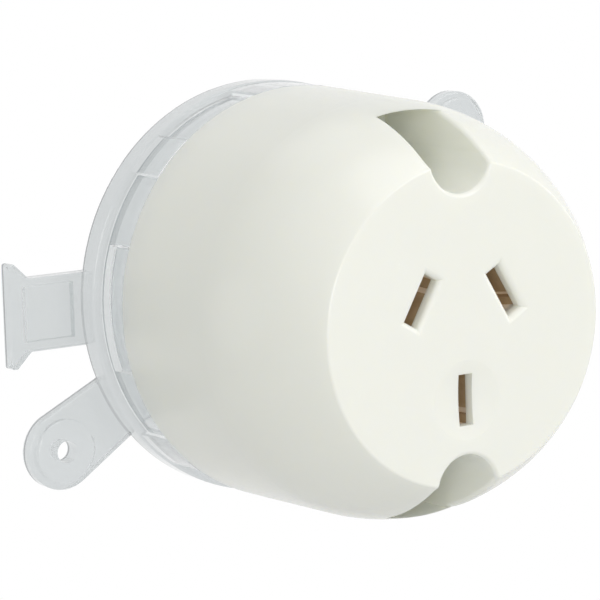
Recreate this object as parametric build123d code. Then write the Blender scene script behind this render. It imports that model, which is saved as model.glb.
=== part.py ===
from build123d import *
import math
import os

# Surface mounted three-pin socket outlet: a clear base, a white cover and the contacts inside.
# Lengths are in millimetres and angles in degrees.
# Every piece is drawn lying on its back: X to the right, Y up the wall, Z forward from the wall.
# A depth is a distance forward from the wall. stand_up() turns a finished piece upright.

# Outer form
body_radius = 30.0            # cover at its rear rim
overall_depth = 52.0          # wall to socket face
joint_depth = 11.3            # plane where the cover sits on the base
shoulder_depth = 32.3         # where the side starts to curve in
side_draft = 0.5              # how much smaller the side is there than at the rim
face_inset = 7.7              # edge of the flat face, inside the rim
face_edge_round = 0.5
rim_round = 0.4
cover_wall = 2.2
face_wall = 2.0

# Pin pattern and slots
line_pin_x = 6.86
line_pin_y = 3.96
line_pin_tilt = 30.0
earth_pin_drop = 10.31
slot_length = 7.1
slot_width = 2.3
slot_mouth_round = 0.9
dish_radius = 5.5             # shallow hollow round the earth slot
dish_depth = 0.5

# Wells that the cover screws lie in, at the top and the bottom of the face
well_inset = 7.2              # screw axis inside the cover's rim
well_radius = 4.9             # half the width, and the round inner end
well_outer_inset = 1.6        # outer end, this far inside the body and concentric with it
well_mouth_round = 0.6
well_wall = 1.6
well_floor_depth = 27.0
well_floor = 2.4

# Lap joint between cover and base
lap_lip = 1.1                 # cover wall left outside the tongue
lap_height = 2.5
lap_clearance = 0.15

# Base
plate_thickness = 2.6
flange_overhang = 0.2         # flange past the cover's rim
flange_thickness = 3.6
flange_round = 0.4
base_wall = 2.0
wall_setback = 0.8            # base wall behind the cover's side
pad_sweep = 13.0              # flush pads round the base wall
pad_angles = (46.0, 134.0, 226.0, 314.0)
post_pad_sweep = 24.0         # pads beside the screw posts
post_radius = 4.0
post_rise = 3.7               # post past the joint, up to the cover's boss
post_rib = 1.6
rear_entry_radius = 6.5
rear_entry_rise = 9.0
knockout_width = 18.0         # thin part of the wall, broken out for a cable
knockout_floor = 5.0
knockout_skin = 0.8

# Fixing lugs
fixing_overhang = 10.3        # hole centre past the cover's rim
fixing_angles = (30.0, 210.0)
lug_width = 11.3              # at its round end
lug_root = 9.5                # width where it leaves the base wall
lug_thickness = 2.0
lug_edge_round = 0.4
fixing_hole_radius = 1.6
seat_radius = 4.7             # raised seat for the screw's head
seat_height = 0.9
seat_round = 0.3

# Cable tie tab on the left
tab_overhang = 12.7           # end of the tab past the cover's rim
tab_stem = 10.5
tab_head = 15.0
tab_flare = 2.3
tab_land = 0.9
tab_thickness = 2.2
tab_corner_round = 0.4
tab_edge_round = 0.2
tab_skin = 1.1
tab_panel_start = 2.0         # both ends of the cored panel, past the rim
tab_panel_end = 9.8
tab_panel_height = 7.9

# Contacts
strip = 0.7
contact_width = 7.4           # a little wider than a slot is long
contact_clearance = 0.3
lip_clearance = 0.3
lip_gap = 3.0
pinch_gap = 1.1
pinch_setback = 4.5
web_gap = 3.4
leaf_bend = 2.0
web_bend = 0.4
finger_slit = 0.9
finger_slit_offset = 2.0
finger_slit_length = 12.0
chamber_wall = 1.2

# Terminals
terminal_size = 7.4
terminal_height = 10.0
terminal_clearance = 0.2
tunnel_radius = 2.1
tunnel_rise = 5.2             # tunnel above the rear of the block
tunnel_end_wall = 1.3
tenon_radius = 0.9
tenon_head_height = 0.5
tenon_clearance = 0.05
window_margin = 0.5

# Contact retainer
retainer_inset = 5.7          # rear of the plate, forward of the joint
retainer_thickness = 2.2
retainer_pad_radius = 6.6
ear_x = 13.0
ear_y = -6.5
ear_radius = 4.2
boss_radius = 3.2

# Screws
thread_clearance = 0.1
hole_clearance = 0.3
cover_screw_radius = 1.7
cover_screw_head_radius = 3.4
cover_screw_head_height = 2.4
cover_screw_length = 22.0
terminal_screw_radius = 1.9
terminal_screw_head_radius = 2.7
terminal_screw_head_height = 2.2
terminal_screw_length = 5.6
terminal_screw_reach = 0.6    # screw end past the wall of the tunnel
retainer_screw_radius = 1.2
retainer_screw_head_radius = 2.7
retainer_screw_head_height = 2.0
retainer_screw_length = 9.0
head_edge_round = 0.6
drive_slot_width = 0.9
drive_slot_depth = 1.1
pilot_margin = 1.0            # pilot hole past the screw's end

cut_margin = 1.0              # cutters run this far past the faces that they open

# Planes and sizes that follow from the values above
face_inside = overall_depth - face_wall
retainer_depth = joint_depth + retainer_inset
post_top = joint_depth + post_rise
well_offset = body_radius - well_inset
shoulder_radius = body_radius - side_draft
face_radius = body_radius - face_inset
well_outer_radius = body_radius - well_outer_inset
flange_radius = body_radius + flange_overhang
fixing_radius = body_radius + fixing_overhang
tab_reach = body_radius + tab_overhang
retainer_front = retainer_depth + retainer_thickness
terminal_front = retainer_front + terminal_height
tunnel_depth = retainer_front + tunnel_rise
contact_front = face_inside - lip_clearance
tenon_head_radius = web_gap / 2 - web_bend - tenon_clearance
chamber_length = contact_width + 2 * contact_clearance
chamber_width = web_gap + 2 * strip + 2 * contact_clearance
pocket_size = terminal_size + 2 * terminal_clearance
base_wall_radius = body_radius - wall_setback
base_inner_radius = base_wall_radius - base_wall
lap_radius = body_radius - lap_lip
screws = ((0, well_offset), (0, -well_offset))
well_turns = (0.0, 180.0)
ears = ((ear_x, ear_y), (-ear_x, ear_y))

# Pin centre, turn of the slot from upright, and the side on which the wire goes in
pins = {
    "active": ((-line_pin_x, line_pin_y), -line_pin_tilt, -1),
    "neutral": ((line_pin_x, line_pin_y), line_pin_tilt, 1),
    "earth": ((0, -earth_pin_drop), 0, 1),
}


def stand_up(solid):
    return Plane.XZ * solid


def rod(radius, start, end, centre=(0, 0)):
    x, y = centre
    height = end - start
    return Pos(x, y, start) * Cylinder(radius, height, align=(Align.CENTER, Align.CENTER, Align.MIN))


def block(width, height, start, end):
    depth = end - start
    return Pos(0, 0, start) * Box(width, height, depth, align=(Align.CENTER, Align.CENTER, Align.MIN))


def outline(*points):
    return make_face(Polyline(*points, close=True))


def turned(section, sweep=360.0):
    return revolve(Plane.XZ * section, axis=Axis.Z, revolution_arc=sweep)


def at_pin(name):
    (x, y), turn, side = pins[name]
    return Pos(x, y) * Rot(0, 0, turn)


# The cover's half section: a drafted side, one arc tangent to it and a flat face.
# An inset gives the same form further in, for the hollow.
def cover_section(inset, back, front):
    draft = math.atan2(body_radius - shoulder_radius, shoulder_depth - joint_depth)
    across = face_radius - shoulder_radius
    along = overall_depth - shoulder_depth
    fall = across * math.cos(draft) + along * math.sin(draft)
    arc_radius = -(across ** 2 + along ** 2) / (2 * fall)
    centre_r = shoulder_radius - arc_radius * math.cos(draft)
    centre_z = shoulder_depth - arc_radius * math.sin(draft)
    radius = arc_radius - inset
    last = math.asin((front - centre_z) / radius)

    def on_arc(angle):
        return (centre_r + radius * math.cos(angle), centre_z + radius * math.sin(angle))

    rim_radius = body_radius - inset / math.cos(draft) + (joint_depth - back) * math.tan(draft)
    start = on_arc(draft)
    end = on_arc(last)
    return make_face([
        Line((0, back), (rim_radius, back)),
        Line((rim_radius, back), start),
        ThreePointArc(start, on_arc((draft + last) / 2), end),
        Line(end, (0, front)),
        Line((0, front), (0, back)),
    ])


def make_cover():
    section = cover_section(0, joint_depth, overall_depth)
    corners = section.vertices().filter_by(lambda v: v.X > face_radius / 2).sort_by(Axis.Y)
    section = fillet(corners[-1], face_edge_round)
    corners = section.vertices().filter_by(lambda v: v.X > face_radius / 2).sort_by(Axis.Y)
    form = cut_wells(turned(fillet(corners[0], rim_round)))
    hollow = turned(cover_section(cover_wall, joint_depth - cut_margin, face_inside))

    # Towers that guide the contacts, pockets for the terminals, tubes for the wells and screw bosses
    inside = []
    tower_width = chamber_width + 2 * chamber_wall
    tower_length = chamber_length + 2 * chamber_wall
    pocket_outer = pocket_size + 2 * chamber_wall
    for name in pins:
        tower = block(tower_width, tower_length, terminal_front, face_inside)
        pocket = block(pocket_outer, pocket_outer, retainer_front, terminal_front + chamber_wall)
        inside += [at_pin(name) * tower, at_pin(name) * pocket]
    for turn in well_turns:
        well_start = well_floor_depth - well_floor
        tube = extrude(Pos(0, 0, well_start) * well_section(well_wall), amount=overall_depth - well_start)
        inside.append(Rot(0, 0, turn) * tube)
    for screw in screws:
        inside.append(rod(post_radius, post_top, well_floor_depth, screw))
    for ear in ears:
        inside.append(rod(boss_radius, retainer_front, face_inside + face_wall / 2, ear))
    fittings = Part() + inside

    cuts = []
    for name, (centre, turn, side) in pins.items():
        cuts += [at_pin(name) * cut for cut in chamber_cuts(side)]
    cuts += [at_pin("active") * slot_cut(), at_pin("neutral") * slot_cut(), at_pin("earth") * earth_cut()]
    screw_hole = cover_screw_radius + hole_clearance
    for screw in screws:
        cuts.append(rod(screw_hole, post_top - cut_margin, well_floor_depth + cut_margin, screw))
    pilot_hole = retainer_screw_radius + thread_clearance
    pilot_end = retainer_depth + retainer_screw_length + pilot_margin
    for ear in ears:
        cuts.append(rod(pilot_hole, retainer_front - cut_margin, pilot_end, ear))
    cuts.append(rod(lap_radius, joint_depth - cut_margin, joint_depth + lap_height + lap_clearance))
    return form - hollow + (fittings & form) - cuts


# A well seen from the front: a round inner end, straight sides and an outer end that follows the body.
def well_section(margin):
    half_width = well_radius + margin
    outer = well_outer_radius + margin
    channel = Pos(0, well_offset + outer / 2) * Rectangle(2 * half_width, outer)
    return (channel + Pos(0, well_offset) * Circle(half_width)) & Circle(outer)


# The mouth is rounded along the sides and the inner end; the outer end runs out to a thin edge.
def cut_wells(form):
    well_length = overall_depth - well_floor_depth + cut_margin
    well = extrude(Pos(0, 0, well_floor_depth) * well_section(0), amount=well_length)
    wells = [Rot(0, 0, turn) * well for turn in well_turns]
    opened = form - wells
    mouths = new_edges(form, *wells, combined=opened).filter_by(GeomType.LINE, reverse=True)
    inner = well_outer_radius - well_mouth_round
    rounded = mouths.filter_by(lambda edge: math.hypot(edge.center().X, edge.center().Y) < inner)
    return fillet(rounded, well_mouth_round)


# A line slot runs through the face, and its mouth is rounded on all four sides.
def slot_cut():
    through = block(slot_width, slot_length, face_inside - cut_margin, overall_depth + cut_margin)
    mouth_width = slot_width + 4 * slot_mouth_round
    mouth_length = slot_length + 4 * slot_mouth_round
    above = block(mouth_width, mouth_length, overall_depth, overall_depth + 2 * cut_margin)
    corner = new_edges(through, above, combined=through + above)
    return fillet(corner, slot_mouth_round)


# The earth slot lies in the middle of a shallow spherical hollow.
def earth_cut():
    through = block(slot_width, slot_length, face_inside - cut_margin, overall_depth + cut_margin)
    ball_radius = (dish_radius ** 2 + dish_depth ** 2) / (2 * dish_depth)
    return through + Pos(0, 0, overall_depth - dish_depth + ball_radius) * Sphere(ball_radius)


def chamber_cuts(side):
    chamber = block(chamber_width, chamber_length, terminal_front - cut_margin, face_inside)
    pocket = block(pocket_size, pocket_size, retainer_front - cut_margin, terminal_front)
    window_end = tunnel_depth + tunnel_radius + window_margin
    window_width = 2 * (tunnel_radius + window_margin)
    window = block(pocket_size, window_width, retainer_front - cut_margin, window_end)
    return [chamber, pocket, Pos(side * pocket_size / 2) * window]


def make_base():
    tongue_radius = lap_radius - lap_clearance
    tongue_top = joint_depth + lap_height
    section = outline(
        (0, 0),
        (flange_radius, 0),
        (flange_radius, flange_thickness),
        (base_wall_radius, flange_thickness),
        (base_wall_radius, joint_depth),
        (tongue_radius, joint_depth),
        (tongue_radius, tongue_top),
        (base_inner_radius, tongue_top),
        (base_inner_radius, plate_thickness),
        (0, plate_thickness),
    )
    base = turned(fillet(section.vertices().group_by(Axis.X)[-1], flange_round))
    pads = [(angle, pad_sweep) for angle in pad_angles]
    pads += [(90.0, post_pad_sweep), (270.0, post_pad_sweep)]
    for angle, sweep in pads:
        middle = base_wall_radius - base_wall / 2
        pad = outline((middle, 0), (body_radius, 0), (body_radius, joint_depth), (middle, joint_depth))
        base += Rot(0, 0, angle - sweep / 2) * turned(pad, sweep)
    for x, y in screws:
        base += rod(post_radius, 0, post_top, (x, y))
        rib_length = base_wall_radius - well_offset
        rib = block(post_rib, rib_length, 0, joint_depth)
        base += Pos(x, math.copysign(well_offset + rib_length / 2, y)) * rib
    for angle in fixing_angles:
        base += Rot(0, 0, angle) * fixing_lug()
    base += tie_tab()

    for angle in (0.0, 180.0):
        base -= Rot(0, 0, angle) * knockout()
    for angle in fixing_angles:
        hole = rod(fixing_hole_radius, -cut_margin, lug_thickness + seat_height + cut_margin)
        base -= Rot(0, 0, angle) * Pos(fixing_radius) * hole
    pilot_start = well_floor_depth - cover_screw_length - pilot_margin
    for screw in screws:
        base -= rod(cover_screw_radius + thread_clearance, pilot_start, post_top + cut_margin, screw)
    base -= rod(rear_entry_radius, -cut_margin, plate_thickness + cut_margin, (0, rear_entry_rise))
    return base


# A lug widens a little towards its round end, which has a raised seat for the screw's head.
def fixing_lug():
    arm = outline(
        (base_inner_radius, lug_root / 2),
        (base_inner_radius, -lug_root / 2),
        (fixing_radius, -lug_width / 2),
        (fixing_radius, lug_width / 2),
    )
    lug = extrude(arm + Pos(fixing_radius) * Circle(lug_width / 2), amount=lug_thickness)
    lug = fillet(lug.edges().group_by(Axis.Z)[-1], lug_edge_round)
    seat = rod(seat_radius, 0, lug_thickness + seat_height)
    return lug + Pos(fixing_radius) * fillet(seat.edges().group_by(Axis.Z)[-1], seat_round)


# The tab ends in a dovetail head that keeps a tie from slipping off, and is cored out from behind.
def tie_tab():
    stem_end = tab_reach - tab_land - tab_flare
    upper = [
        (-base_inner_radius, tab_stem / 2),
        (-stem_end, tab_stem / 2),
        (-tab_reach + tab_land, tab_head / 2),
        (-tab_reach, tab_head / 2),
    ]
    lower = [(x, -y) for x, y in reversed(upper)]
    form = outline(*upper, *lower)
    head_corners = form.vertices().filter_by(lambda v: abs(v.Y) > (tab_stem + tab_head) / 4)
    tab = extrude(fillet(head_corners, tab_corner_round), amount=tab_thickness)
    tab = fillet(tab.edges().group_by(Axis.Z)[-1], tab_edge_round)
    panel_length = tab_panel_end - tab_panel_start
    panel_middle = body_radius + (tab_panel_start + tab_panel_end) / 2
    core = block(panel_length, tab_panel_height, -cut_margin, tab_thickness - tab_skin)
    return tab - Pos(-panel_middle) * core


# A band cut into the outside of the wall leaves a skin that breaks out.
def knockout():
    band = rod(body_radius + cut_margin, knockout_floor, joint_depth)
    band -= rod(base_inner_radius + knockout_skin, knockout_floor, joint_depth)
    reach = body_radius + cut_margin
    return band & Pos(reach / 2) * block(reach, knockout_width, knockout_floor, joint_depth)


# One bent strip: two sprung leaves that pinch the pin, joined by a web. Each leaf is slit into two fingers.
def make_contact():
    half = strip / 2
    leaf = [
        (lip_gap / 2 + half, contact_front),
        (pinch_gap / 2 + half, contact_front - pinch_setback),
        (web_gap / 2 + half, terminal_front + half),
    ]
    path = [(-x, z) for x, z in leaf] + leaf[::-1]
    corner = web_bend + half
    middle_line = FilletPolyline(*path, radius=[leaf_bend, corner, corner, leaf_bend])
    section = Plane.XZ * trace(middle_line, strip)
    contact = extrude(section, amount=contact_width / 2, both=True)
    slit_start = contact_front - finger_slit_length
    slit = block(chamber_width, finger_slit, slit_start, contact_front + cut_margin)
    contact -= Pos(0, -finger_slit_offset) * slit
    web_front = terminal_front + strip
    hole = rod(tenon_radius + tenon_clearance, terminal_front - cut_margin, web_front + cut_margin)
    return contact - hole


# A brass block with a tunnel for the wire and a tenon that is peened over inside the contact's web.
def make_terminal(side):
    terminal = block(terminal_size, terminal_size, retainer_front, terminal_front)
    head_start = terminal_front + strip
    terminal += rod(tenon_radius, terminal_front, head_start)
    terminal += rod(tenon_head_radius, head_start, head_start + tenon_head_height)
    tunnel_length = terminal_size - tunnel_end_wall + cut_margin
    tunnel = Rot(0, 90, 0) * Cylinder(tunnel_radius, tunnel_length)
    tunnel_middle = terminal_size / 2 + cut_margin - tunnel_length / 2
    terminal -= Pos(side * tunnel_middle, 0, tunnel_depth) * tunnel
    screw_hole = rod(terminal_screw_radius + thread_clearance, retainer_front - cut_margin, tunnel_depth)
    return terminal - screw_hole


# A plate screwed across the pockets keeps the terminals in.
def make_retainer():
    pads = [Pos(*centre) * Circle(retainer_pad_radius) for centre, turn, side in pins.values()]
    pads += [Pos(*ear) * Circle(ear_radius) for ear in ears]
    plate = make_hull((Sketch() + pads).edges())
    plate = extrude(Pos(0, 0, retainer_depth) * plate, amount=retainer_thickness)
    back = retainer_depth - cut_margin
    front = retainer_front + cut_margin
    for centre, turn, side in pins.values():
        plate -= rod(terminal_screw_head_radius + hole_clearance, back, front, centre)
    for ear in ears:
        plate -= rod(retainer_screw_radius + hole_clearance, back, front, ear)
    return plate


# A screw with its head's underside at the origin and its shank along +Z.
# The head has a rounded rim and a slot across it.
def make_screw(radius, length, head_radius, head_height):
    head = rod(head_radius, -head_height, 0)
    head = fillet(head.edges().group_by(Axis.Z)[0], head_edge_round)
    across = 2 * (head_radius + cut_margin)
    slot_floor = drive_slot_depth - head_height
    head -= block(drive_slot_width, across, -head_height - cut_margin, slot_floor)
    return head + rod(radius, 0, length)


def make_cover_screws():
    screw = make_screw(
        cover_screw_radius, cover_screw_length, cover_screw_head_radius, cover_screw_head_height
    )
    return [Pos(x, y, well_floor_depth) * Rot(180, 0, 0) * screw for x, y in screws]


def make_terminal_screws():
    screw = make_screw(
        terminal_screw_radius, terminal_screw_length, terminal_screw_head_radius, terminal_screw_head_height
    )
    seat = tunnel_depth - tunnel_radius + terminal_screw_reach - terminal_screw_length
    return [Pos(x, y, seat) * screw for (x, y), turn, side in pins.values()]


def make_retainer_screws():
    screw = make_screw(
        retainer_screw_radius, retainer_screw_length, retainer_screw_head_radius, retainer_screw_head_height
    )
    return [Pos(x, y, retainer_depth) * screw for x, y in ears]


pieces = {
    "base": make_base(),
    "cover": make_cover(),
    "contact_retainer": make_retainer(),
    "cover_screws": Compound(make_cover_screws()),
    "terminal_screws": Compound(make_terminal_screws()),
    "retainer_screws": Compound(make_retainer_screws()),
}
for name, (centre, turn, side) in pins.items():
    flip = Rot(0, 0, 180) if side < 0 else Rot(0, 0, 0)
    pieces[name + "_contact"] = at_pin(name) * flip * make_contact()
    pieces[name + "_terminal"] = at_pin(name) * make_terminal(side)

os.makedirs("parts", exist_ok=True)
for name, piece in pieces.items():
    export_step(stand_up(piece), os.path.join("parts", name + ".step"))
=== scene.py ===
import math
import bmesh
import bpy
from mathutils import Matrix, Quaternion, Vector


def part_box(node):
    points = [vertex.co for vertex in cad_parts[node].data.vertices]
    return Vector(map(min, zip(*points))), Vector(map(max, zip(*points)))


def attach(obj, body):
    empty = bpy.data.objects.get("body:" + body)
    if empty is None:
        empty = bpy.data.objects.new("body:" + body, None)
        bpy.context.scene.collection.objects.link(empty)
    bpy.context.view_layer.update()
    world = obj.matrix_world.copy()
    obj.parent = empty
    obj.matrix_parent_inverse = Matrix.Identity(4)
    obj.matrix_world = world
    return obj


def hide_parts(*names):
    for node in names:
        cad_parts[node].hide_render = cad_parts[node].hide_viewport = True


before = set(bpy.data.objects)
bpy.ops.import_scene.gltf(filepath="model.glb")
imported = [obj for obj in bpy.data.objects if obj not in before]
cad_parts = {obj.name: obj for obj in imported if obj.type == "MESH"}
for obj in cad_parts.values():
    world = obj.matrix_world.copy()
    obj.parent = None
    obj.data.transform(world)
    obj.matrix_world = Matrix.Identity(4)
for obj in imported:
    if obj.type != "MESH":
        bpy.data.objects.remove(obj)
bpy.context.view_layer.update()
print("frame loaded:", len(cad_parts), "nodes")

pins = ("active", "neutral", "earth")
white = (1.0, 1.0, 1.0, 1.0)
black = (0.0, 0.0, 0.0, 1.0)


def deselectAll():
    bpy.ops.object.select_all(action="DESELECT")


def outward(azimuth, elevation):                # away from the socket; 0, 0 is straight in front of it
    turn = math.radians(azimuth)
    lift = math.radians(elevation)
    return Vector((
        math.sin(turn) * math.cos(lift),
        -math.cos(turn) * math.cos(lift),
        math.sin(lift),
    ))


# set to the angle of the photograph
camera = {
    "azimuth": -32.96,
    "elevation": 8.90,
    "roll": -1.82,
    "distance": 0.4964,
    "target": (-0.00575, -0.0200, 0.00045),
    "lens": 210.0,
    "sensor": 36.0,
    "clip": (0.01, 20.0),
}


def placeCamera():
    back = outward(camera["azimuth"], camera["elevation"])
    roll = Quaternion((0.0, 0.0, 1.0), math.radians(camera["roll"]))
    deselectAll()
    bpy.ops.object.camera_add(location=Vector(camera["target"]) + back * camera["distance"])
    eye = bpy.context.object
    eye.name = "photoCamera"
    eye.rotation_mode = "QUATERNION"
    eye.rotation_quaternion = back.to_track_quat("Z", "Y") @ roll
    eye.data.lens = camera["lens"]
    eye.data.sensor_width = camera["sensor"]
    eye.data.clip_start, eye.data.clip_end = camera["clip"]
    bpy.context.scene.camera = eye


placeCamera()
print("camera placed")


class Signal:                                   # a node's output, which takes part in sums
    def __init__(self, socket):
        self.socket = socket
        self.tree = socket.id_data

    def output(self, key):                      # another output of the same node
        return Signal(self.socket.node.outputs[key])

    def mathNode(self, operation, first, second):
        return makeNode(self.tree, "ShaderNodeMath", {"operation": operation}, {0: first, 1: second})

    def __add__(self, other):
        return self.mathNode("ADD", self, other)

    def __radd__(self, other):
        return self.mathNode("ADD", other, self)

    def __sub__(self, other):
        return self.mathNode("SUBTRACT", self, other)

    def __rsub__(self, other):
        return self.mathNode("SUBTRACT", other, self)

    def __mul__(self, other):
        return self.mathNode("MULTIPLY", self, other)

    def __rmul__(self, other):
        return self.mathNode("MULTIPLY", other, self)

    def __neg__(self):
        return 0.0 - self

    def __abs__(self):
        return self.most(-self)

    def __gt__(self, other):                    # 1 where it holds, 0 elsewhere
        return self.mathNode("GREATER_THAN", self, other)

    def __lt__(self, other):
        return self.mathNode("LESS_THAN", self, other)

    def most(self, other):
        return self.mathNode("MAXIMUM", self, other)


def between(value, low, high):                  # 1 inside the band, 0 outside
    return (value > low) * (value < high)


def sway(pattern, amount):                      # noise lies about 0.5, and this about zero
    return (pattern - 0.5) * amount


def makeNode(tree, kind, settings, inputs):     # settings first, then values or links
    node = tree.nodes.new(kind)
    for key, value in settings.items():
        setattr(node, key, value)
    for key, value in inputs.items():
        if isinstance(value, Signal):
            tree.links.new(value.socket, node.inputs[key])
        else:
            node.inputs[key].default_value = value
    if node.outputs:
        return Signal(node.outputs[0])          # the others come by its output method


def startMaterial(name):
    material = bpy.data.materials.new(name)
    material.use_nodes = True
    tree = material.node_tree
    tree.nodes.clear()
    place = makeNode(tree, "ShaderNodeTexCoord", {}, {}).output("Object")
    return material, tree, place


def endMaterial(tree, surface):
    makeNode(tree, "ShaderNodeOutputMaterial", {}, {"Surface": surface})


def principled(tree, inputs):
    return makeNode(tree, "ShaderNodeBsdfPrincipled", {}, inputs)


def axes(tree, place):                          # across, depth from the wall, and height
    spot = makeNode(tree, "ShaderNodeSeparateXYZ", {}, {"Vector": place})
    return spot.output("X"), -spot.output("Y"), spot.output("Z")


def noise(tree, place, scale, detail, roughness=0.5):
    return makeNode(tree, "ShaderNodeTexNoise", {}, {
        "Vector": place, "Scale": scale, "Detail": detail, "Roughness": roughness,
    })


def mixColour(tree, amount, first, second):     # a Mix node's sockets share names, so they go by number
    return makeNode(tree, "ShaderNodeMix", {"data_type": "RGBA"}, {0: amount, 6: first, 7: second}).output(2)


def mixShader(tree, amount, first, second):
    return makeNode(tree, "ShaderNodeMixShader", {}, {0: amount, 1: first, 2: second})


def bump(tree, height, distance, strength):
    return makeNode(tree, "ShaderNodeBump", {}, {
        "Strength": strength, "Distance": distance, "Height": height,
    })


coverFinish = {
    "colour": (0.94, 0.957, 0.87, 1.0),
    "warmer": (0.935, 0.947, 0.85, 1.0),
    "cloud": (45.0, 2.0),                       # noise: scale and detail
    "cloudShare": 0.6,
    "grain": (2600.0, 4.0),
    "grainHeight": 0.000012,
    "grainStrength": 0.6,
    "grainRoughness": 0.10,
    "ripple": (160.0, 2.0),
    "rippleShare": 0.8,                         # of the grain's height
    "rippleRoughness": 0.05,
    "roughness": 0.24,
    "ior": 1.5,
    "glowWeight": 0.5,                          # light that the thick white plastic spreads inside
    "glowReach": 0.002,
    "glowTint": (1.0, 0.95, 0.8),
    "pocketPaintedGlow": (0.11, 0.08, 0.055, 1.0),    # painted glow: emission behind the contacts' fingers, standing in for light that comes through the plastic
    "pocketReach": 0.0048,                      # from the middle of each contact
    "pocketDepths": (0.036, 0.0485),            # from the wall
}


def makeCoverPlastic(values):
    material, tree, place = startMaterial("ivoryPlastic")
    cloud = noise(tree, place, *values["cloud"])
    grain = noise(tree, place, *values["grain"])
    ripple = noise(tree, place, *values["ripple"])
    colour = mixColour(tree, cloud * values["cloudShare"], values["colour"], values["warmer"])
    rough = values["roughness"] + sway(grain, values["grainRoughness"])
    rough = rough + sway(ripple, values["rippleRoughness"])
    relief = grain + ripple * values["rippleShare"]
    normal = bump(tree, relief, values["grainHeight"], values["grainStrength"])
    across, depth, rise = axes(tree, place)
    near = 0.0
    for pin in pins:
        low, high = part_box(pin + "_contact")
        fromX = across - (low[0] + high[0]) / 2
        fromZ = rise - (low[2] + high[2]) / 2
        near = near + (fromX * fromX + fromZ * fromZ < values["pocketReach"] ** 2)
    # painted glow: the plastic round each contact's pocket gives off a faint warm light, in place of light
    # passing through the plastic
    pocket = near * between(depth, *values["pocketDepths"])
    light = mixColour(tree, pocket, black, values["pocketPaintedGlow"])
    endMaterial(tree, principled(tree, {
        "Base Color": colour,
        "Roughness": rough,
        "Normal": normal,
        "IOR": values["ior"],
        "Subsurface Weight": values["glowWeight"],
        "Subsurface Scale": values["glowReach"],
        "Subsurface Radius": values["glowTint"],
        "Emission Color": light,
        "Emission Strength": 1.0,
    }))
    return material


clearFinish = {
    "colour": (0.96, 0.98, 0.985, 1.0),
    "paintedShadeGrey": (0.55, 0.58, 0.59, 1.0),          # painted shade: grey on the front and edges of the plate, the lugs and the tab
    "paintedShadeDepths": (0.0002, 0.0044),             # where that painted shade lies, from the wall
    "edge": (0.20, 0.21, 0.22, 1.0),            # painted shade: the sharp rear edges show as a thin dark line
    "edgeShadeTo": 0.0006,
    "rimLineHalf": 0.0002,                         # half the painted dark line on the back face, at the flange's rim
    "rimLineShare": 0.45,                          # of the painted edge line's colour
    "padInset": 0.0006,                         # flush pads are all that comes this near to the flange's rim
    "padTo": 0.0058,                            # painted shade to this depth on the upper side pads
    "padLow": 0.012,                            # painted shade all over on the pads below this height
    "padMiddle": 0.0066,                        # and on those within this of the middle
    "stepDepths": (0.00498, 0.00502),           # the step under the break-outs
    "stepShare": 0.7,                           # of the painted shade
    "coreInset": 0.0068,                        # hollow behind the tab: its middle, from the tab's end
    "coreHalf": 0.0040,                         # half its width and height
    "coreDepth": 0.0011,
    "flow": (110.0, 2.0),                       # noise: scale and detail
    "flowHeight": 0.00003,
    "flowStrength": 0.5,
    "scuff": (900.0, 3.0),
    "scuffRoughness": 0.03,
    "roughness": 0.06,
    "clarity": 0.90,                            # the rest is a faint haze in the plastic
    "ior": 1.24,                                # low, so that the edges stay as pale as in the photograph
    "gloss": 0.6,
    "glossRoughness": 0.08,
}


def makeClearPlastic(values):
    material, tree, place = startMaterial("clearPolycarbonate")
    low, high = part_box("base")
    rim = high[2]                               # the flange's radius
    coreMiddle = low[0] + values["coreInset"]
    paintedShadeFrom, paintedShadeTo = values["paintedShadeDepths"]
    flow = noise(tree, place, *values["flow"])
    scuff = noise(tree, place, *values["scuff"])
    across, depth, rise = axes(tree, place)
    # painted shade: grey on these faces stands in for the darkening that refraction in the clear plastic
    # gives
    core = (abs(across - coreMiddle) < values["coreHalf"]) * (abs(rise) < values["coreHalf"])
    inFront = between(depth, paintedShadeFrom + core * values["coreDepth"], paintedShadeTo)
    ring = across * across + rise * rise        # radius, squared
    atRim = between(ring, (rim - values["rimLineHalf"]) ** 2, (rim + values["rimLineHalf"]) ** 2)
    rimShadeLine = atRim * (depth < paintedShadeFrom) * values["rimLineShare"]
    # painted shade: a thin dark line on the rear edges and round the flange's rim, where refraction darkens
    # the clear plastic
    edge = (inFront * (depth < values["edgeShadeTo"])).most(rimShadeLine)
    pads = (ring > (rim - values["padInset"]) ** 2) * (depth > paintedShadeTo)
    whole = (rise < values["padLow"]).most(abs(across) < values["padMiddle"])
    pads = pads * (depth < values["padTo"]).most(whole)
    step = between(depth, *values["stepDepths"]) * values["stepShare"]
    paintedShade = inFront.most(pads).most(step)
    colour = mixColour(tree, paintedShade, values["colour"], values["paintedShadeGrey"])
    colour = mixColour(tree, edge, colour, values["edge"])
    endMaterial(tree, principled(tree, {
        "Base Color": colour,
        "Roughness": values["roughness"] + scuff * values["scuffRoughness"],
        "Normal": bump(tree, flow, values["flowHeight"], values["flowStrength"]),
        "IOR": values["ior"],
        "Transmission Weight": values["clarity"],
        "Coat Weight": values["gloss"],
        "Coat Roughness": values["glossRoughness"],
    }))
    return material


# what both kinds of brass have alike
brassGrain = {
    "lines": (900.0, 3.0, 0.6),                 # noise: scale, detail and roughness
    "lineHeight": 0.00002,
    "lineStrength": 0.5,
    "lineRoughness": 0.12,
    "patch": (380.0, 4.0, 0.6),
    "patchRoughness": 0.2,
    "roughness": 0.36,
}
contactFinish = {
    "clean": (0.72, 0.56, 0.37, 1.0),
    "tarnish": (0.37, 0.265, 0.15, 1.0),
    "stretch": (1.0, 0.12, 1.0),                # draws the noise out into lines
    "metallic": 0.5,
}
terminalFinish = {
    "clean": (0.66, 0.48, 0.21, 1.0),
    "tarnish": (0.45, 0.31, 0.13, 1.0),
    "stretch": (1.0, 0.1, 1.0),
    "metallic": 1.0,
}


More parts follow.
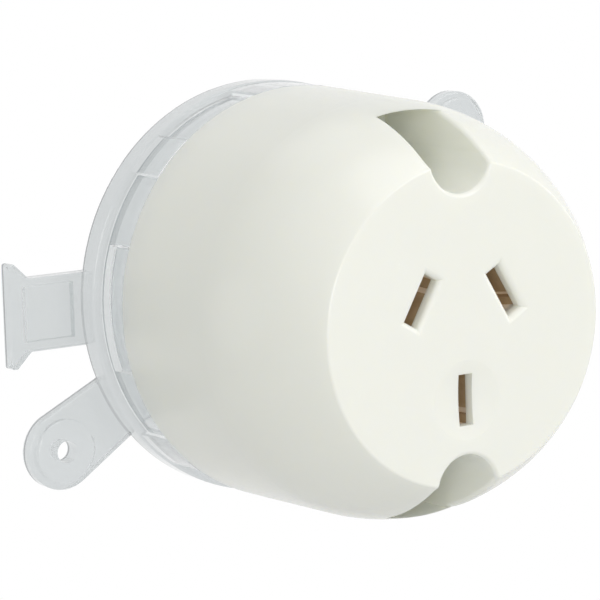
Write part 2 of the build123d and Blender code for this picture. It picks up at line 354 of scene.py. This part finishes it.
def makeBrass(name, values):
    material, tree, place = startMaterial(name)
    drawn = makeNode(tree, "ShaderNodeMapping", {}, {"Vector": place, "Scale": values["stretch"]})
    lines = noise(tree, drawn, *brassGrain["lines"])
    patch = noise(tree, place, *brassGrain["patch"])
    rough = brassGrain["roughness"] + patch * brassGrain["patchRoughness"]
    endMaterial(tree, principled(tree, {
        "Base Color": mixColour(tree, patch, values["clean"], values["tarnish"]),
        "Roughness": rough + sway(lines, brassGrain["lineRoughness"]),
        "Normal": bump(tree, lines, brassGrain["lineHeight"], brassGrain["lineStrength"]),
        "Metallic": values["metallic"],
    }))
    return material


zincFinish = {
    "bright": (0.66, 0.67, 0.68, 1.0),
    "dull": (0.48, 0.48, 0.46, 1.0),
    "patch": (520.0, 4.0, 0.6),                 # noise: scale, detail and roughness
    "patchRoughness": 0.18,
    "spangleScale": 1400.0,
    "spangleHeight": 0.00001,
    "spangleStrength": 0.4,
    "roughness": 0.24,
}


def makeZinc(values):
    material, tree, place = startMaterial("zincPlating")
    patch = noise(tree, place, *values["patch"])
    spangle = makeNode(tree, "ShaderNodeTexVoronoi", {}, {"Vector": place, "Scale": values["spangleScale"]})
    endMaterial(tree, principled(tree, {
        "Base Color": mixColour(tree, patch, values["bright"], values["dull"]),
        "Roughness": values["roughness"] + patch * values["patchRoughness"],
        "Normal": bump(tree, spangle, values["spangleHeight"], values["spangleStrength"]),
        "Metallic": 1.0,
    }))
    return material


boardFinish = {
    "colour": (0.52, 0.52, 0.49, 1.0),
    "darker": (0.40, 0.40, 0.37, 1.0),
    "fleck": (1500.0, 5.0, 0.65),               # noise: scale, detail and roughness
    "fleckShare": 0.6,
    "fleckHeight": 0.00003,
    "fleckStrength": 0.7,
    "fleckRoughness": 0.2,
    "cloud": (120.0, 2.0),
    "cloudShare": 0.2,
    "roughness": 0.58,
}


def makeBoard(values):
    material, tree, place = startMaterial("greyInsulatingBoard")
    fleck = noise(tree, place, *values["fleck"])
    cloud = noise(tree, place, *values["cloud"])
    shade = fleck * values["fleckShare"] + cloud * values["cloudShare"]
    endMaterial(tree, principled(tree, {
        "Base Color": mixColour(tree, shade, values["colour"], values["darker"]),
        "Roughness": values["roughness"] + sway(fleck, values["fleckRoughness"]),
        "Normal": bump(tree, fleck, values["fleckHeight"], values["fleckStrength"]),
    }))
    return material


zinc = makeZinc(zincFinish)
contactBrass = makeBrass("agedContactBrass", contactFinish)
terminalBrass = makeBrass("drawnTerminalBrass", terminalFinish)
nodeFinish = {
    "cover": makeCoverPlastic(coverFinish),
    "base": makeClearPlastic(clearFinish),
    "contact_retainer": makeBoard(boardFinish),
    "cover_screws": zinc,
    "terminal_screws": zinc,
    "retainer_screws": zinc,
}
for pin in pins:
    nodeFinish[pin + "_contact"] = contactBrass
    nodeFinish[pin + "_terminal"] = terminalBrass
for name, material in nodeFinish.items():
    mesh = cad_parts[name].data
    mesh.materials.clear()
    mesh.materials.append(material)
print("finishes on", len(nodeFinish), "nodes")


def pickEdges(piece, test):                     # in edit mode, by the places of an edge's ends
    bpy.ops.mesh.select_mode(type="EDGE")
    shape = bmesh.from_edit_mesh(piece.data)
    for edge in shape.edges:
        edge.select_set(all(test(vertex.co) for vertex in edge.verts))
    bmesh.update_edit_mesh(piece.data)


def pickFaces(piece, test):                     # in edit mode, by the middle of a face
    bpy.ops.mesh.select_mode(type="FACE")
    shape = bmesh.from_edit_mesh(piece.data)
    for face in shape.faces:
        face.select_set(test(face.calc_center_median()))
    bmesh.update_edit_mesh(piece.data)


def applyModifier(piece, kind, settings):
    modifier = piece.modifiers.new(kind.lower(), kind)
    for key, value in settings.items():
        setattr(modifier, key, value)
    bpy.context.view_layer.objects.active = piece
    bpy.ops.object.modifier_apply(modifier=modifier.name)


def combine(piece, other, operation):           # the other piece is used up
    applyModifier(piece, "BOOLEAN", {"object": other, "operation": operation, "solver": "EXACT"})
    bpy.data.objects.remove(other)


# what all the screws have alike
screwForm = {
    "headSides": 64,
    "rimShare": 0.55,                           # of the head's height is rounded off
    "rimSteps": 6,
    "rimProfile": 0.55,
    "shankSides": 48,
    "pointShare": 0.35,                         # of the shank's width is left at the point
    "threadSides": 4,
    "threadSteps": 24,                          # in a turn
    "threadHalf": 0.4,                          # half the thread's width, as a share of the pitch
    "threadShow": 0.8,                          # share of the thread's depth that stands out of the shank
    "smoothAngle": 35.0,
}


def addHead(radius, height):                    # a pan head with a rounded rim, its underside at the origin
    deselectAll()
    bpy.ops.mesh.primitive_cylinder_add(
        vertices=screwForm["headSides"], radius=radius, depth=height, location=(0.0, 0.0, height / 2))
    head = bpy.context.object
    bpy.ops.object.transform_apply()
    bpy.ops.object.mode_set(mode="EDIT")
    pickEdges(head, lambda place: place.z > height / 2)
    bpy.ops.mesh.bevel(
        offset=height * screwForm["rimShare"],
        segments=screwForm["rimSteps"],
        profile=screwForm["rimProfile"],
    )
    bpy.ops.object.mode_set(mode="OBJECT")
    return head


def addShank(radius, length, point):            # the last stretch is drawn in to the point
    straight = length - point
    pointShare = screwForm["pointShare"]
    deselectAll()
    bpy.ops.mesh.primitive_cylinder_add(        # it starts inside the head
        vertices=screwForm["shankSides"],
        radius=radius,
        depth=straight + radius,
        location=(0.0, 0.0, (radius - straight) / 2),
    )
    shank = bpy.context.object
    bpy.ops.object.transform_apply()
    bpy.ops.object.mode_set(mode="EDIT")
    pickFaces(shank, lambda middle: middle.z < -straight / 2)
    bpy.ops.mesh.extrude_region_move(TRANSFORM_OT_translate={"value": (0.0, 0.0, -point)})
    bpy.ops.transform.resize(value=(pointShare, pointShare, 1.0), center_override=(0.0, 0.0, -length))
    bpy.ops.object.mode_set(mode="OBJECT")
    return shank


def addThread(radius, depth, pitch, start, turns):
    deselectAll()
    bpy.ops.mesh.primitive_circle_add(
        vertices=screwForm["threadSides"], radius=1.0, rotation=(math.pi / 2, 0.0, 0.0))
    thread = bpy.context.object
    bpy.ops.object.transform_apply()
    bpy.ops.object.mode_set(mode="EDIT")
    half = pitch * screwForm["threadHalf"]
    bpy.ops.transform.resize(value=(depth, 1.0, half), center_override=(0.0, 0.0, 0.0))
    bpy.ops.transform.translate(value=(radius - depth, 0.0, -start))
    bpy.ops.object.mode_set(mode="OBJECT")
    applyModifier(thread, "SCREW", {
        "axis": "Z",
        "screw_offset": -pitch,
        "iterations": turns,
        "steps": screwForm["threadSteps"],
        "render_steps": screwForm["threadSteps"],
    })
    bpy.ops.object.mode_set(mode="EDIT")
    bpy.ops.mesh.select_all(action="SELECT")
    bpy.ops.mesh.fill_holes(sides=0)
    bpy.ops.mesh.normals_make_consistent(inside=False)
    bpy.ops.object.mode_set(mode="OBJECT")
    return thread


def addBlade(length, width, depth, turn, top):  # cuts one slot of the drive
    deselectAll()
    bpy.ops.mesh.primitive_cube_add(
        size=1.0,
        location=(0.0, 0.0, top),
        rotation=(0.0, 0.0, math.radians(turn)),
        scale=(length, width, 2 * depth),
    )
    blade = bpy.context.object
    bpy.ops.object.transform_apply()
    return blade


def makeScrew(values, headRadius, length):      # head up, along the Z axis
    height = values["headHeight"]
    screw = addHead(headRadius, height)
    core = values["threadRadius"] - values["threadDepth"] * screwForm["threadShow"]
    shank = addShank(core, length, values["point"])
    turns = int((length - values["neck"] - values["point"]) / values["pitch"])
    thread = addThread(values["threadRadius"], values["threadDepth"], values["pitch"], values["neck"], turns)
    combine(shank, thread, "UNION")
    combine(screw, shank, "UNION")
    for cut in values["drive"]:
        combine(screw, addBlade(*cut, height), "DIFFERENCE")
    return screw


def setScrews(name, values, places, headRadius, headFacesWall):
    low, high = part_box(values["node"])
    height = values["headHeight"]
    screw = makeScrew(values, headRadius, high[1] - low[1] - height)
    seat = high[1] - height if headFacesWall else low[1] + height
    turn = -math.pi / 2 if headFacesWall else math.pi / 2
    copies = []
    for x, z in places:
        copy = screw.copy()
        copy.data = screw.data.copy()
        bpy.context.collection.objects.link(copy)
        copy.location = (x, seat, z)
        copy.rotation_euler = (turn, 0.0, 0.0)
        copies.append(copy)
    bpy.data.objects.remove(screw)
    deselectAll()
    for copy in copies:
        copy.select_set(True)
    piece = copies[0]
    bpy.context.view_layer.objects.active = piece
    bpy.ops.object.transform_apply()
    bpy.ops.object.join()
    bpy.ops.object.shade_smooth_by_angle(angle=math.radians(screwForm["smoothAngle"]))
    piece.name = name
    piece.data.materials.append(zinc)
    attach(piece, "root")
    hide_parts(values["node"])


coverScrews = {
    "node": "cover_screws",
    "headHeight": 0.0024,
    "threadRadius": 0.0017,
    "threadDepth": 0.0004,
    "pitch": 0.0013,
    "neck": 0.0045,
    "point": 0.003,
    # length, width, depth and turn of each cut in the head: a slot, and a cross in its middle
    "drive": (
        (0.0080, 0.0009, 0.0011, 90.0),
        (0.0036, 0.0008, 0.0015, 0.0),
        (0.0036, 0.0008, 0.0015, 90.0),
    ),
}


def setCoverScrews():
    low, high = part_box(coverScrews["node"])
    radius = (high[0] - low[0]) / 2
    reach = high[2] - radius
    setScrews("coverScrews", coverScrews, ((0.0, reach), (0.0, -reach)), radius, False)


terminalScrews = {
    "node": "terminal_screws",
    "headRadius": 0.0027,
    "headHeight": 0.0022,
    "threadRadius": 0.0019,
    "threadDepth": 0.0003,
    "pitch": 0.0007,
    "neck": 0.0009,
    "point": 0.0006,
    "drive": ((0.0070, 0.0009, 0.0011, 90.0),),
}


def setTerminalScrews():
    low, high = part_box(terminalScrews["node"])
    radius = terminalScrews["headRadius"]
    upper = high[2] - radius
    places = ((low[0] + radius, upper), (high[0] - radius, upper), (0.0, low[2] + radius))
    setScrews("terminalScrews", terminalScrews, places, radius, True)


retainerScrews = {
    "node": "retainer_screws",
    "headHeight": 0.0020,
    "threadRadius": 0.0012,
    "threadDepth": 0.0003,
    "pitch": 0.0009,
    "neck": 0.0024,
    "point": 0.0012,
    "drive": ((0.0070, 0.0009, 0.0011, 90.0),),
}


def setRetainerScrews():
    low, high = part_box(retainerScrews["node"])
    radius = (high[2] - low[2]) / 2
    places = ((low[0] + radius, low[2] + radius), (high[0] - radius, low[2] + radius))
    setScrews("retainerScrews", retainerScrews, places, radius, True)


setCoverScrews()
setTerminalScrews()
setRetainerScrews()
print("screws threaded and slotted")


studio = {
    "floorDrop": 0.30,
    "floorRadius": 0.55,
    "floorSides": 96,
    "floorColour": (0.85, 0.85, 0.85, 1.0),
    "floorDuller": (0.83, 0.83, 0.83, 1.0),
    "floorMottle": (8.0, 2.0),                  # noise: scale and detail
    "floorRoughness": 0.7,
    "floorWhite": 0.4,                          # share of plain white in what is seen of it
    "floorFade": 0.4,                           # share of the radius from where it fades out
    "ambient": 0.4,
    "ambientColour": (0.965, 1.0, 1.0, 1.0),
    "lampColour": (1.0, 0.972, 0.952),
    "aim": (0.0, -0.025, 0.0),
    # name: azimuth, elevation, distance, size, watts
    "lamps": {
        "front": (-33.0, 9.0, 0.9, 0.5, 2.68),
        "left": (-120.0, 0.0, 0.9, 0.5, 0.35),
        "key": (30.0, 25.0, 0.9, 0.5, 1.9),
        "right": (70.0, 10.0, 0.9, 0.5, 1.3),
        "top": (0.0, 80.0, 0.8, 0.6, 1.25),
        "rear": (180.0, 55.0, 0.9, 0.5, 0.3),
    },
}


def addLamp(name, azimuth, elevation, distance, size, watts):
    back = outward(azimuth, elevation)
    deselectAll()
    bpy.ops.object.light_add(type="AREA", location=Vector(studio["aim"]) + back * distance)
    lamp = bpy.context.object
    lamp.name = name + "Lamp"
    lamp.rotation_mode = "QUATERNION"
    lamp.rotation_quaternion = back.to_track_quat("Z", "Y")
    lamp.data.shape = "DISK"
    lamp.data.size = size
    lamp.data.energy = watts
    lamp.data.color = studio["lampColour"]
    lamp.visible_camera = False
    lamp.visible_transmission = False


def seenByEye(tree):                            # straight, mirrored or through clear plastic
    path = makeNode(tree, "ShaderNodeLightPath", {}, {})
    seen = path.output("Is Camera Ray")
    for ray in ("Is Glossy Ray", "Is Transmission Ray"):
        seen = seen.most(path.output(ray))
    return seen


def makeFloor():
    radius = studio["floorRadius"]
    deselectAll()
    bpy.ops.mesh.primitive_circle_add(
        vertices=studio["floorSides"],
        radius=radius,
        fill_type="NGON",
        location=(0.0, 0.0, -studio["floorDrop"]),
    )
    floor = bpy.context.object
    floor.name = "studioFloor"
    material, tree, place = startMaterial("paleFloor")
    mottle = noise(tree, place, *studio["floorMottle"])
    surface = principled(tree, {
        "Base Color": mixColour(tree, mottle, studio["floorColour"], studio["floorDuller"]),
        "Roughness": studio["floorRoughness"],
    })
    glow = makeNode(tree, "ShaderNodeEmission", {}, {"Color": white, "Strength": 1.0})
    lit = mixShader(tree, seenByEye(tree) * studio["floorWhite"], surface, glow)
    reach = makeNode(tree, "ShaderNodeVectorMath", {"operation": "LENGTH"}, {"Vector": place})
    fade = makeNode(tree, "ShaderNodeMapRange", {"interpolation_type": "SMOOTHSTEP"}, {
        "Value": reach.output("Value"), "From Min": radius * studio["floorFade"], "From Max": radius,
    })
    gone = makeNode(tree, "ShaderNodeBsdfTransparent", {}, {})
    endMaterial(tree, mixShader(tree, fade, lit, gone))
    floor.data.materials.append(material)


def makeWorld():
    world = bpy.data.worlds.new("whiteStudio")
    bpy.context.scene.world = world
    world.use_nodes = True
    tree = world.node_tree
    tree.nodes.clear()
    seen = seenByEye(tree)
    strength = studio["ambient"] + seen * (1.0 - studio["ambient"])
    colour = mixColour(tree, seen, studio["ambientColour"], white)
    surface = makeNode(tree, "ShaderNodeBackground", {}, {"Color": colour, "Strength": strength})
    makeNode(tree, "ShaderNodeOutputWorld", {}, {"Surface": surface})


for name, values in studio["lamps"].items():
    addLamp(name, *values)
makeFloor()
makeWorld()
bpy.context.scene.view_settings.view_transform = "Standard"
print("studio lit by", len(studio["lamps"]), "lamps")
